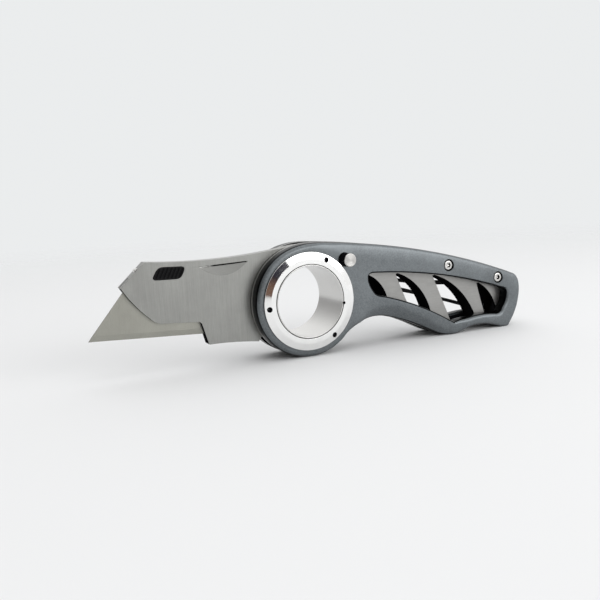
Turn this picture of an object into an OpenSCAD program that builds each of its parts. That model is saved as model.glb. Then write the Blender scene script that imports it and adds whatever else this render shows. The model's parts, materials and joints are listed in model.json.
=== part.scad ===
// Folding utility knife with a hollow ring pivot, a plunger lock and a
// blade carrier for standard two-notch trapezoid blades.
// X runs from the ring to the tail, Y across the knife (front is -Y), Z up.
// The origin is the centre of the ring; the carrier is drawn open.

/* [Handle] */
// Outer radius of the handle round the ring
ring_end_r = 19; // [18.9:0.05:19.1]
// Thickness of one grip scale
scale_t = 4.3; // [4:0.1:4.6]
// Thickness of one steel liner
liner_t = 1.2; // [1:0.1:1.3]
// Width of the slot that the carrier folds into
channel_w = 4.8; // [4.8:0.1:5]

/* [Ring pivot] */
// Radius of the finger hole
bore_r = 11.7; // [11:0.1:11.8]
// Outer radius of the pivot sleeve, which the carrier turns on
journal_r = 12.6; // [12.5:0.05:12.6]
// Outer radius of the ring nut and of the sleeve's flange
flange_r = 16.6; // [16:0.1:16.6]
// How far the ring nut and the flange stand proud of the scales
flange_t = 1.1; // [0.8:0.1:1.3]
// Radius of the circle that the spanner holes lie on
spanner_circle_r = 15; // [14.5:0.1:15]

/* [Carrier] */
// Thickness of the blade carrier
carrier_t = 4; // [3.8:0.1:4]
// Radius of the tang that passes the neck of the lock plunger
track_r = 17.3; // [17:0.05:17.3]
// Angle that the carrier folds through
fold_angle = 177.5; // [177:0.5:178]

/* [Blade] */
// Length of the cutting edge
blade_l = 61; // [60:0.5:61]
// Width of the blade
blade_w = 19; // [18.7:0.1:19]
// Length of the back edge
blade_back_l = 33; // [32:0.5:34]
// Thickness of the blade
blade_t = 0.65; // [0.55:0.05:0.65]

/* [Lock] */
// Radius of the lock button
lock_button_r = 2.3; // [2.1:0.05:2.3]
// Radius of the collar that locks the tang
lock_collar_r = 3.3; // [3.2:0.05:3.3]
// Travel of the lock button
lock_travel = 2.5; // [2.4:0.1:2.5]

/* [Screws] */
// Radius of a screw head
head_r = 1.75; // [1.7:0.05:1.8]
// Radius of a screw thread
thread_r = 1; // [0.9:0.05:1]

/* [Hidden] */
$fn = 96;

// places across the knife, measured from its middle plane
channel_y = channel_w / 2;
liner_y = channel_y + liner_t;
face_y = liner_y + scale_t;
ring_y = face_y + flange_t;
carrier_y = carrier_t / 2;
bevel_drop = 0.55;
flat_r = 14.3;
bore_chamfer = 0.3;
hub_r = 14;
hub_depth = 2;
journal_gap = 0.06;
washer_gap = 0.05;
washer_r = 15.5;

// places in the side view
lock_at = [14, 12.9];
stop_angle = 66;
stop_circle_r = 18.7;
stop_r = 1.2;
stop_at = stop_circle_r * [cos(stop_angle), sin(stop_angle)];
shoulder_angle = stop_angle + asin(stop_r / stop_circle_r) + 0.1;
shoulder_r = 18.9;
screws_at = [[57.6, 7.1], [80.6, 0.5]];
clip_screws_at = [[87.9, -5], [86.2, -12.5]];
counterbore_r = 2.2;
counterbore_depth = 1.6;
head_t = 1.3;
clearance = 0.08;

// lock plunger, from its locked place
collar_t = 2;
collar_y = -channel_y + washer_gap;
neck_r = 1.4;
neck_l = 2.75;
button_proud = 4.1;
notch_r = lock_collar_r + 0.1;
spring_bore_r = 2.5;
spring_end_y = 6.4;

// blade seat
tip_at = [-71.6, -5.7];
blade_tilt = 3.1;
notch_w = 3;
notch_depth = 2.2;
notch_pitch = 9.5;
grind_w = 1.8;
edge_t = 0.08;
seat_gap = 0.15;
seat_y = blade_t / 2 + 0.04;

// release button, its catch and its spring
button_shape = [[-51.2, 11.5], [-41.9, 11.2], [-40, 14.9], [-48.8, 15.3]];
button_corner = 1.6;
button_face_y = -2.3;
button_t = 0.9;
catch_y = 0.35;

// points of the arc from a through b to c
function arc(a, b, c, n = 12) =
    let (
        d = 2 * (a.x * (b.y - c.y) + b.x * (c.y - a.y) + c.x * (a.y - b.y)),
        o = [
            (a * a * (b.y - c.y) + b * b * (c.y - a.y) + c * c * (a.y - b.y)) / d,
            (a * a * (c.x - b.x) + b * b * (a.x - c.x) + c * c * (b.x - a.x)) / d
        ],
        from = atan2(a.y - o.y, a.x - o.x),
        to = atan2(c.y - o.y, c.x - o.x),
        turn = cross(b - a, c - b) > 0 ? 1 : -1,
        gap = turn * (to - from),
        sweep = turn * (gap < 0 ? gap + 360 : gap)
    )
    [for (i = [0:n]) o + norm(a - o) * [cos(from + sweep * i / n), sin(from + sweep * i / n)]];

// a side-view shape made solid from y0 to y1
module across(y0, y1) {
    translate([0, y1, 0]) rotate([90, 0, 0]) linear_extrude(y1 - y0) children();
}

// a round bar or hole across the knife
module bar(at, r, y0, y1) {
    translate([at.x, y1, at.y]) rotate([90, 0, 0]) cylinder(r = r, h = y1 - y0);
}

// a closed outline whose corners are curves that start the distance d before them
function rounded(p, d, n = 6) = [
    for (i = [0:len(p) - 1])
        let (
            before = p[(i + len(p) - 1) % len(p)] - p[i],
            after = p[(i + 1) % len(p)] - p[i],
            from = p[i] + d * before / norm(before),
            to = p[i] + d * after / norm(after)
        )
        for (k = [0:n])
            let (t = k / n)
            (1 - t) * (1 - t) * from + 2 * t * (1 - t) * p[i] + t * t * to
];

// a shape turned about the ring's axis, drawn as [radius, distance to the front]
module turned() {
    rotate([90, 0, 0]) rotate_extrude($fn = 128) children();
}

module to_back() {
    mirror([0, 1, 0]) children();
}

// ---- outlines in the side view ----

module handle_outline() {
    circle(r = ring_end_r, $fn = 160);
    polygon(concat(
        arc([12, -14.73], [15.4, -11.8], [19.9, -9.6], 8),
        arc([21.2, -9.1], [24.6, -8.5], [28.4, -8.55], 6),
        arc([29.8, -8.75], [38.5, -11.4], [48.4, -15.8]),
        arc([51.5, -17.3], [58.9, -19], [65, -17.7]),
        arc([67.5, -17], [71.6, -16.7], [77, -17.4]),
        [[84.2, -19], [85.5, -18.8]],
        arc([86.3, -17.9], [90.2, -10.6], [91.2, -3]),
        arc([91.1, -1.8], [90, 0.5], [88, 1.6], 6),
        arc([86, 2.4], [44.9, 14], [4, 19.4], 20),
        arc([3, 19.4], [-3, 18.9], [-8.5, 16.99], 8),
        [[0, 0]]
    ));
}

module window_outline() {
    polygon(concat(
        arc([26.9, -0.7], [43.5, -6.2], [58.6, -13.9]),
        arc([59.4, -14.3], [60.2, -14.4], [61.2, -14.2], 4),
        arc([66.7, -13.5], [72, -13], [80, -13.4]),
        arc([81.2, -13.3], [81.8, -12.9], [82.4, -11.9], 4),
        arc([83, -10.9], [84.3, -8.7], [84.9, -6]),
        arc([84.9, -5.3], [84.3, -4.4], [83.2, -3.9], 4),
        arc([82, -3.6], [53.3, 3.9], [25.4, 7.2], 16),
        arc([24.6, 7.2], [23.6, 6.6], [23.3, 5.4], 4),
        [[24.9, 1.2], [25.8, 0]]
    ));
}

// a claw-shaped opening: tip, middle of the left edge, foot, heel, middle of the right edge
module claw(tip, left, foot, heel, right) {
    polygon(concat(
        arc(tip, left, foot, 6),
        arc(heel, right, tip + [0.8, 0.2], 12)
    ));
}

// the opening behind the ring, in the front liner only
module first_claw() {
    claw([23.2, 6.6], [22.9, 3], [25.5, -1.6], [33.4, -3.9], [30, 3]);
}

module claws() {
    claw([37.1, 5.5], [39.3, 0], [42.4, -6.9], [52.2, -11.2], [46.2, 0.3]);
    claw([53.2, 3.4], [56.6, -4.5], [61.2, -15], [72.4, -13.7], [65, -3]);
    claw([73.6, -1.5], [75, -6.5], [77.3, -13.8], [83.4, -13.9], [80.8, -7.2]);
}

module spacer_outline() {
    polygon(concat(
        [[18.2, 12.6], [34.9, 10.3], [36.6, 6.9], [72.6, 3.5], [73.8, 0.6], [84, -3.6]],
        arc([85, -5.5], [84.6, -10.5], [82.6, -18]),
        [[84.2, -18.7], [85.4, -18.5]],
        arc([86, -17.7], [89.9, -10.6], [90.9, -3]),
        arc([90.8, -1.9], [89.7, 0.3], [87.8, 1.3], 6),
        arc([86, 2], [44.9, 13.7], [19, 18.1], 16)
    ));
}

module holder_outline() {
    polygon(concat(
        arc([-60.7, 9.7], [-55.3, 2.3], [-51.4, -1.5], 8),
        arc([-50.8, -1.9], [-49.6, -2.4], [-48.2, -2.5], 4),
        arc([-37.6, -3.3], [-36.4, -3.6], [-35.9, -4.5], 4),
        [[-34.1, -11.1], [-33.7, -11.2]],
        arc([-33, -11.2], [-24, -11.6], [-16.5, -12.45], 6),
        [[-12.1, -12.45], [0, 0], [0, shoulder_r]],
        arc([-3.4, 18.6], [-28.4, 16.4], [-53, 17.3], 16),
        [[-61, 9.9]]
    ));
    intersection() {
        circle(r = shoulder_r, $fn = 160);
        polygon([
            [0, 0], 40 * [cos(shoulder_angle), sin(shoulder_angle)], [0, 40], [-40, 40]
        ]);
    }
}

// the carrier's side view, with its tang cut back to the radius r
module carrier_outline(r) {
    difference() {
        union() {
            circle(r = r, $fn = 160);
            holder_outline();
        }
        circle(r = journal_r + journal_gap, $fn = 160);
        for (a = [0, -fold_angle])
            rotate(a) translate(lock_at) circle(r = notch_r, $fn = 48);
    }
}

// ---- handle ----

module scale_body() {
    difference() {
        across(-face_y, -liner_y) handle_outline();
        across(-face_y - 1, -liner_y + 1) window_outline();
        bar([0, 0], journal_r, -face_y - 1, -liner_y + 1);
        for (p = screws_at) {
            bar(p, thread_r + 0.1, -face_y - 1, -liner_y + 1);
            bar(p, counterbore_r, -face_y - 1, -face_y + counterbore_depth);
        }
    }
}

module front_scale() {
    color("slategray") difference() {
        scale_body();
        bar([0, 0], hub_r, -face_y - 1, -face_y + hub_depth);
        bar(lock_at, lock_button_r + clearance, -face_y - 1, -liner_y + 1);
    }
}

module back_scale() {
    color("slategray") difference() {
        to_back() scale_body();
        bar(lock_at, spring_bore_r, liner_y - 1, spring_end_y);
        for (p = clip_screws_at) bar(p, thread_r, liner_y + 0.8, face_y + 1);
    }
}

module liner_body() {
    difference() {
        across(-liner_y, -channel_y) difference() {
            handle_outline();
            claws();
        }
        bar([0, 0], journal_r, -liner_y - 1, -channel_y + 1);
        for (p = screws_at) bar(p, thread_r + 0.1, -liner_y - 1, -channel_y + 1);
    }
}

module front_liner() {
    color("silver") difference() {
        liner_body();
        across(-liner_y - 1, -channel_y + 1) first_claw();
        bar(lock_at, lock_button_r + 0.2, -liner_y - 1, -channel_y + 1);
        bar(stop_at, stop_r, -liner_y - 1, -channel_y + 1);
    }
}

module back_liner() {
    color("silver") difference() {
        to_back() liner_body();
        bar(lock_at, spring_bore_r, channel_y - 1, liner_y + 1);
        bar(stop_at, stop_r, channel_y - 1, liner_y + 1);
    }
}

module spine_spacer() {
    color("dimgray") difference() {
        across(-channel_y, channel_y) spacer_outline();
        for (p = screws_at) bar(p, thread_r, -channel_y - 1, channel_y + 1);
    }
}

module stop_pin() {
    color("gainsboro") bar(stop_at, stop_r, -liner_y, liner_y);
}

// three blind holes for a pin spanner, in a face at the distance f to the front
module spanner_holes(f) {
    for (a = [64.2, 184.2, 304.2])
        rotate([0, -a, 0]) translate([spanner_circle_r, -f - 0.5, 0]) rotate([-90, 0, 0]) {
            cylinder(r = 0.8, h = 1.3, $fn = 32);
            translate([0, 0, 1.3]) cylinder(r1 = 0.8, r2 = 0, h = 0.4, $fn = 32);
        }
}

module pivot_sleeve() {
    color("lightgray") difference() {
        turned() polygon([
            [bore_r, ring_y - bore_chamfer], [bore_r + bore_chamfer, ring_y],
            [journal_r, ring_y], [journal_r, -face_y], [flange_r, -face_y],
            [flange_r, -ring_y + bevel_drop], [flat_r, -ring_y],
            [bore_r + bore_chamfer, -ring_y], [bore_r, -ring_y + bore_chamfer]
        ]);
        to_back() spanner_holes(ring_y);
        stake_hole();
    }
}

// the punched dimple on the seam that keeps the nut from turning
module stake_hole() {
    rotate([0, 8, 0]) translate([journal_r, -ring_y - 0.5, 0]) rotate([-90, 0, 0])
        cylinder(r = 0.55, h = 1, $fn = 24);
}

module ring_nut() {
    color("white") difference() {
        turned() polygon([
            [journal_r, face_y - hub_depth], [hub_r, face_y - hub_depth], [hub_r, face_y],
            [flange_r, face_y], [flange_r, ring_y - bevel_drop], [flat_r, ring_y],
            [journal_r, ring_y]
        ]);
        spanner_holes(ring_y);
        stake_hole();
    }
}

module washer() {
    turned() translate([journal_r, carrier_y + washer_gap])
        square([washer_r - journal_r, channel_y - carrier_y - 2 * washer_gap]);
}

module front_washer() {
    color("darkgoldenrod") washer();
}

module back_washer() {
    color("darkgoldenrod") to_back() washer();
}

// a six-lobed socket, from the face at y down to its floor
module socket(at, y, depth) {
    bar(at, 0.62, y - 1, y + depth);
    for (i = [0:5])
        bar(at + 0.72 * [cos(60 * i), sin(60 * i)], 0.26, y - 1, y + depth);
}

// a screw whose head's outer face is at y and whose thread ends at the given place
module screw(at, y, end_y) {
    difference() {
        union() {
            bar(at, head_r, y, y + head_t);
            bar(at, thread_r - 0.02, y, end_y);
        }
        socket(at, y, 0.8);
    }
}

module scale_screws() {
    for (p = screws_at)
        screw(p, -face_y + counterbore_depth - head_t, -channel_y + 2);
}

module front_scale_screws() {
    color("gainsboro") scale_screws();
}

module back_scale_screws() {
    color("gainsboro") to_back() scale_screws();
}

module clip_screws() {
    color("dimgray") to_back() for (p = clip_screws_at)
        screw(p, -face_y - 1 - head_t, -liner_y - 1);
}

module clip_outline() {
    difference() {
        polygon(concat(
            [[90.3, -1.6], [88.6, -14], [85, -16.4], [80.5, -14.2]],
            arc([79, -13], [52, -4.6], [27.4, 1.6], 12),
            arc([26, 2.2], [24.2, 4.9], [27, 6.4], 8),
            arc([28, 6.3], [56, 0.4], [82, -1.4], 12)
        ));
        // the opening that leaves two rails
        polygon(concat(
            arc([80.5, -11.9], [57, -4.6], [34.5, 2.1], 12),
            arc([34.4, 3.4], [56, -1.2], [80.5, -3.3], 12)
        ));
    }
}

module belt_clip() {
    color("dimgray") difference() {
        intersection() {
            across(face_y - 1, face_y + 6) clip_outline();
            // the side profile, drawn in plan
            translate([0, 0, -30]) linear_extrude(60) polygon([
                [92, face_y], [79, face_y], [74.5, face_y + 1.8], [29, face_y + 0.2],
                [26.5, face_y + 0.2], [22, face_y + 1.2], [22, face_y + 2.2],
                [26.3, face_y + 1.2], [29, face_y + 1.2], [74.6, face_y + 2.8],
                [79.3, face_y + 1], [92, face_y + 1]
            ]);
        }
        for (p = clip_screws_at) bar(p, thread_r + 0.1, face_y - 1, face_y + 3);
    }
}

// ---- lock ----

module lock_button() {
    shank_end = collar_y - neck_l;
    color("gainsboro") difference() {
        bar(lock_at, lock_button_r, -face_y - button_proud, shank_end);
        bar(lock_at, 0.9, shank_end - 3, shank_end + 1);
    }
}

module lock_plunger() {
    color("silver") {
        bar(lock_at, lock_collar_r, collar_y, collar_y + collar_t);
        bar(lock_at, neck_r, collar_y - neck_l, collar_y);
        bar(lock_at, 0.9, collar_y - neck_l - 3, collar_y);
    }
}

// rings of a round wire wound along the Y axis
module coil(at, r, wire_r, y0, y1, turns, steps = 12, sides = 6) {
    n = turns * steps;
    pitch = (y1 - y0 - 2 * wire_r) / turns;
    points = [
        for (i = [0:n], j = [0:sides - 1])
            let (
                a = 360 * i / steps,
                b = 360 * j / sides,
                q = r + wire_r * cos(b)
            )
            [
                at.x + q * cos(a),
                y0 + wire_r + pitch * i / steps + wire_r * sin(b),
                at.y + q * sin(a)
            ]
    ];
    walls = [
        for (i = [0:n - 1], j = [0:sides - 1])
            let (k = (j + 1) % sides)
            [i * sides + j, i * sides + k, (i + 1) * sides + k, (i + 1) * sides + j]
    ];
    ends = [
        [for (j = [sides - 1:-1:0]) j],
        [for (j = [0:sides - 1]) n * sides + j]
    ];
    polyhedron(points, concat(walls, ends), convexity = 10);
}

module lock_spring() {
    color("silver")
        coil(lock_at, 1.9, 0.25, collar_y + collar_t + 0.02, spring_end_y - 0.02, 6);
}

// ---- carrier ----

// shapes below are drawn along and across the blade, from its point
module at_blade() {
    translate([tip_at.x, 0, tip_at.y]) rotate([0, blade_tilt, 0]) children();
}

module blade_seat() {
    slant = (blade_l - blade_back_l) / 2;
    at_blade() across(-seat_y, seat_y) polygon([
        [-12, -seat_gap], [blade_l + 2 * seat_gap, -seat_gap],
        [blade_l - slant + 2 * seat_gap, blade_w + seat_gap], [-12, blade_w + seat_gap]
    ]);
}

module carrier_half(y0, y1, r) {
    difference() {
        across(y0, y1) carrier_outline(r);
        blade_seat();
        for (p = pins_at) bar(p, pin_r, -pin_y, pin_y);
    }
}

pins_at = [[-55.2, 14.6], [-34, 14], [-26, -9.9]];
pin_r = 0.9;
pin_y = 1.3;

// the thumbnail groove, as a large tapered cutter leaves it, with the narrow
// slot that the cutter's lip makes along its upper edge
module nail_nick() {
    cutter_r = 75;
    depth = 0.5;
    nick_h = 3.8;
    lip_r = 40;
    lip_h = 0.4;
    lip_depth = 0.85;
    translate([-27.3, -carrier_y + depth - cutter_r, 10.9]) rotate([0, -2, 0]) {
        cylinder(r1 = cutter_r - depth, r2 = cutter_r, h = nick_h, $fn = 360);
        translate([0, cutter_r - depth - lip_r + lip_depth, nick_h - lip_h])
            cylinder(r = lip_r, h = lip_h, $fn = 240);
    }
}

module button_outline(grow) {
    middle = (button_shape[0] + button_shape[1] + button_shape[2] + button_shape[3]) / 4;
    grown = [for (p = button_shape) p + grow * [sign(p.x - middle.x), sign(p.y - middle.y)]];
    polygon(rounded(grown, button_corner + grow));
}

module carrier_front_half() {
    color("darkgray") difference() {
        carrier_half(-carrier_y, 0, track_r);
        across(-carrier_y - 1, 1) button_outline(clearance);
        nail_nick();
    }
}

module carrier_back_half() {
    color("darkgray") difference() {
        carrier_half(0, carrier_y, 15.4);
        // room for the catch and for its leaf spring
        across(-1, 1.65) polygon([[-47.1, 9.4], [-42.9, 9.4], [-42.9, 14.7], [-47.1, 14.7]]);
        across(-1, 1.65) polygon([[-43, 12.5], [-37.6, 12.3], [-37.6, 14.5], [-43, 14.7]]);
    }
}

module carrier_pins() {
    color("silver") for (p = pins_at) bar(p, pin_r, -pin_y + 0.05, pin_y - 0.05);
}

module release_button() {
    ribs = 7;
    rib_from = button_shape[0].x + 2.2;
    color("#202022") difference() {
        across(button_face_y, button_face_y + button_t) button_outline(0);
        for (i = [0:ribs - 1])
            translate([rib_from + 1.08 * i, button_face_y - 0.02, 13.25])
                rotate([0, 28, 0]) cube([0.35, 0.7, 3], center = true);
    }
}

module release_catch() {
    notch_x = -44.9;
    color("silver") {
        across(button_face_y + button_t, catch_y)
            polygon([for (p = [[-1.5, 12.35], [1.4, 12.3], [1.4, 14.2], [-1.5, 14.2]])
                p + [notch_x, 0]]);
        across(-catch_y, catch_y)
            polygon([for (p = [[-1.1, 10.3], [1.1, 10.2], [1.1, 12.4], [-1.1, 12.4]])
                p + [notch_x, 0]]);
    }
}

// a bent leaf that pushes the catch forwards
module release_spring() {
    color("silver") translate([0, 0, 12.75]) linear_extrude(1.4) polygon([
        [-46.4, catch_y + 0.02], [-43.6, catch_y + 0.02], [-38, 1.3], [-37.7, 1.3],
        [-37.7, 1.6], [-38.1, 1.6], [-43.7, catch_y + 0.32], [-46.4, catch_y + 0.32]
    ]);
}

// ---- blade ----

module utility_blade() {
    slant = (blade_l - blade_back_l) / 2;
    half_t = blade_t / 2;
    // the back's corners are cut off, which keeps them inside the carrier's nose
    corner_cut = 0.9;
    corner_lean = slant / blade_w * corner_cut;
    color("lightsteelblue") at_blade() intersection() {
        across(-half_t, half_t) difference() {
            polygon([
                [0, 0], [blade_l, 0],
                [blade_l - slant + corner_lean, blade_w - corner_cut],
                [blade_l - slant - corner_cut, blade_w],
                [slant + corner_cut, blade_w], [slant - corner_lean, blade_w - corner_cut]
            ]);
            for (s = [-1, 1])
                translate([blade_l / 2 + s * notch_pitch / 2 - notch_w / 2, blade_w - notch_depth])
                    square([notch_w, notch_depth + 1]);
        }
        // the ground cutting edge
        rotate([90, 0, 90]) linear_extrude(blade_l) polygon([
            [-edge_t / 2, 0], [edge_t / 2, 0], [half_t, grind_w], [half_t, blade_w],
            [-half_t, blade_w], [-half_t, grind_w]
        ]);
    }
}

front_scale();
back_scale();
front_liner();
back_liner();
spine_spacer();
stop_pin();
pivot_sleeve();
ring_nut();
front_washer();
back_washer();
front_scale_screws();
back_scale_screws();
belt_clip();
clip_screws();
lock_button();
lock_plunger();
lock_spring();
carrier_front_half();
carrier_back_half();
carrier_pins();
release_button();
release_catch();
release_spring();
utility_blade();
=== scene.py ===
"""Folding utility knife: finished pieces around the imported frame.

Every piece is drawn in millimetres from the outlines, bores and boxes of its CAD node,
then set down in metres where that node is.
"""

import json
import math

import bmesh
import bpy
import numpy as np
from mathutils import Matrix, Vector, geometry


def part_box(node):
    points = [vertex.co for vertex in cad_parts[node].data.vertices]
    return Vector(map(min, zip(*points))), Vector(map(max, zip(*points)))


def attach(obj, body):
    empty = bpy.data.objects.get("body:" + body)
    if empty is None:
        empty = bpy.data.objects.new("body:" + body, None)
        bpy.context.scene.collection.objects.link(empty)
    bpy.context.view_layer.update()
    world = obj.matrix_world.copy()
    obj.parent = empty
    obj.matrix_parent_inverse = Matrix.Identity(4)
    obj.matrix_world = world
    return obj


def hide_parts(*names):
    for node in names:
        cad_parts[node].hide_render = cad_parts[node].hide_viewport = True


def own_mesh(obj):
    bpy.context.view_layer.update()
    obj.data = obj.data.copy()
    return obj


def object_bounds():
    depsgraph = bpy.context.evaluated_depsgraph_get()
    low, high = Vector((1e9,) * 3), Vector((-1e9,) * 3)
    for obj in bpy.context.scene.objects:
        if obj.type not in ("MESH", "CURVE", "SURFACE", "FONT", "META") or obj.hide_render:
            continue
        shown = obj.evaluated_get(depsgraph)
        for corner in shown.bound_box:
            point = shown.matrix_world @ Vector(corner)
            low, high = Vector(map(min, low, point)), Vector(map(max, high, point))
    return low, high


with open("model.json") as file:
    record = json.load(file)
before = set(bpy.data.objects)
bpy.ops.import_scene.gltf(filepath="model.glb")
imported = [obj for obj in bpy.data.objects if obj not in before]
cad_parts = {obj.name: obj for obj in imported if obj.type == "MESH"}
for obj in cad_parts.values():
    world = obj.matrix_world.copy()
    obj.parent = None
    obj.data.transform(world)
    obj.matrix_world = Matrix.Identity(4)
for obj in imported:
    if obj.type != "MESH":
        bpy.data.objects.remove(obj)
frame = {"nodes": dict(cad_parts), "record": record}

bl_info = {
    "name": "Folding utility knife",
    "version": (1, 0, 0),
    "blender": (4, 5, 0),
    "location": "View3D > Sidebar > Knife",
    "description": "Builds the finished pieces of a folding utility knife and its stage",
    "category": "Add Mesh",
}

CAD_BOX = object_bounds()
MM = 0.001
BODIES = frame["record"]["behaviour"]["bodies"]


# ---- reading the frame ----


def box_mm(node):
    """The lowest and highest corner of a CAD node in millimetres."""
    low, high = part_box(node)
    return low / MM, high / MM


def node_points(node):
    """A CAD node's corners in millimetres, and its triangles as rows of three corner numbers."""
    mesh = frame["nodes"][node].data
    mesh.calc_loop_triangles()
    points = np.array([v.co for v in mesh.vertices], float) / MM
    _, first, same = np.unique(np.round(points, 3), axis=0, return_index=True, return_inverse=True)
    triangles = np.array([t.vertices[:] for t in mesh.loop_triangles])
    return points[first], same.reshape(-1)[triangles]


def flat_levels(node):
    """The distances across the knife at which a CAD node has flat faces that look to the front or back."""
    points, triangles = node_points(node)
    ys = points[triangles][:, :, 1]
    corners = points[triangles]
    area = np.linalg.norm(np.cross(corners[:, 1] - corners[:, 0], corners[:, 2] - corners[:, 0]), axis=1)
    flat = (np.ptp(ys, axis=1) < 0.002) & (area > 1e-5)
    return sorted(set(np.round(ys[flat][:, 0], 2)))


def face_loops(node, level):
    """The closed edges of a CAD node's flat face at one distance across the knife, the largest first."""
    points, triangles = node_points(node)
    flat = np.abs(points[triangles][:, :, 1] - level).max(axis=1) < 0.004
    sides = {}
    for a, b, c in triangles[flat]:
        for start, end in ((a, b), (b, c), (c, a)):
            if sides.get(end) and start in sides[end]:
                sides[end].remove(start)
            else:
                sides.setdefault(start, []).append(end)
    loops = []
    while any(sides.values()):
        start = next(k for k, ends in sides.items() if ends)
        loop, here = [], start
        while sides.get(here):
            loop.append(here)
            here = sides[here].pop()
            if here == start:
                break
        if len(loop) > 2:
            loops.append(points[loop][:, [0, 2]])
    return sorted(loops, key=lambda loop: -abs(enclosed(loop)))


def enclosed(loop):
    """The area inside a closed loop, positive where it runs anticlockwise."""
    ahead = np.roll(loop, -1, axis=0)
    return float(np.sum(loop[:, 0] * ahead[:, 1] - ahead[:, 0] * loop[:, 1]) / 2)


def fitted_circle(loop):
    """The centre and radius of a loop that is a circle, or None."""
    centre = (loop.max(axis=0) + loop.min(axis=0)) / 2
    reach = np.linalg.norm(loop - centre, axis=1)
    if len(loop) < 12 or np.ptp(reach) > 0.03:
        return None
    return centre, float(reach.max())


# ---- outlines ----


def turned_way(loop, anticlockwise):
    return loop if (enclosed(loop) > 0) == anticlockwise else loop[::-1]


def smooth_outline(loop, step, corner=28):
    """A loop drawn again with even steps: smooth through gentle turns, and sharp where it turns by more
    than corner degrees."""
    ahead = np.roll(loop, -1, axis=0) - loop
    length = np.linalg.norm(ahead, axis=1)
    keep = length > 0.02
    loop = loop[keep]
    ahead = np.roll(loop, -1, axis=0) - loop
    length = np.linalg.norm(ahead, axis=1)
    unit = ahead / length[:, None]
    before, before_length = np.roll(unit, 1, axis=0), np.roll(length, 1)
    turn = np.degrees(np.arccos(np.clip(np.sum(before * unit, axis=1), -1, 1)))
    tangent = before * length[:, None] + unit * before_length[:, None]
    tangent /= np.linalg.norm(tangent, axis=1)[:, None]
    out = []
    for i in range(len(loop)):
        j = (i + 1) % len(loop)
        leave = unit[i] if turn[i] > corner else tangent[i]
        arrive = unit[i] if turn[j] > corner else tangent[j]
        parts = max(1, round(length[i] / step))
        for t in np.arange(parts) / parts:
            out.append(
                (2 * t**3 - 3 * t**2 + 1) * loop[i]
                + (t**3 - 2 * t**2 + t) * length[i] * leave
                + (3 * t**2 - 2 * t**3) * loop[j]
                + (t**3 - t**2) * length[i] * arrive
            )
    return np.array(out)


def round_corners(points, radius, parts=4):
    """A closed outline with each corner replaced by a curve that starts about radius before it."""
    out = []
    count = len(points)
    for i, corner in enumerate(points):
        before, after = points[i - 1] - corner, points[(i + 1) % count] - corner
        reach = min(radius, 0.45 * np.linalg.norm(before), 0.45 * np.linalg.norm(after))
        start = corner + before / np.linalg.norm(before) * reach
        end = corner + after / np.linalg.norm(after) * reach
        for t in np.arange(parts + 1) / parts:
            out.append((1 - t) ** 2 * start + 2 * t * (1 - t) * corner + t * t * end)
    return np.array(out)


def circle_outline(centre, radius, count):
    turns = np.arange(count) * 2 * math.pi / count
    return np.array(centre) + radius * np.stack([np.cos(turns), np.sin(turns)], axis=1)


def inward(loop):
    """The direction to the left of an outline at each of its points, longer where it turns sharply."""
    ahead = np.roll(loop, -1, axis=0) - loop
    ahead /= np.linalg.norm(ahead, axis=1)[:, None]
    before = np.roll(ahead, 1, axis=0)
    along = ahead + before
    along /= np.linalg.norm(along, axis=1)[:, None]
    stretch = 1 / np.clip(np.sum(along * ahead, axis=1), 0.6, 1)
    return np.stack([-along[:, 1], along[:, 0]], axis=1) * stretch[:, None]


def gap_to(points, loop, closed=True):
    """How far each point is from a line of points."""
    start = loop if closed else loop[:-1]
    side = (np.roll(loop, -1, axis=0) - loop) if closed else np.diff(loop, axis=0)
    square = np.maximum(np.sum(side**2, axis=1), 1e-12)
    gaps = []
    for part in np.array_split(np.asarray(points, float), max(1, len(points) // 400)):
        offset = part[:, None, :] - start[None]
        t = np.clip(np.sum(offset * side[None], axis=2) / square, 0, 1)
        gaps.append(np.linalg.norm(offset - t[:, :, None] * side[None], axis=2).min(axis=1))
    return np.concatenate(gaps)


def is_inside(points, loops):
    """Whether each point is inside an odd number of the loops."""
    inside = np.zeros(len(points), bool)
    x, z = points[:, 0], points[:, 1]
    for loop in loops:
        for (ax, az), (bx, bz) in zip(loop, np.roll(loop, -1, axis=0)):
            if az != bz:
                crosses = ((az > z) != (bz > z)) & (x < (bx - ax) * (z - az) / (bz - az) + ax)
                inside ^= crosses
    return inside


# ---- building meshes ----


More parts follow.
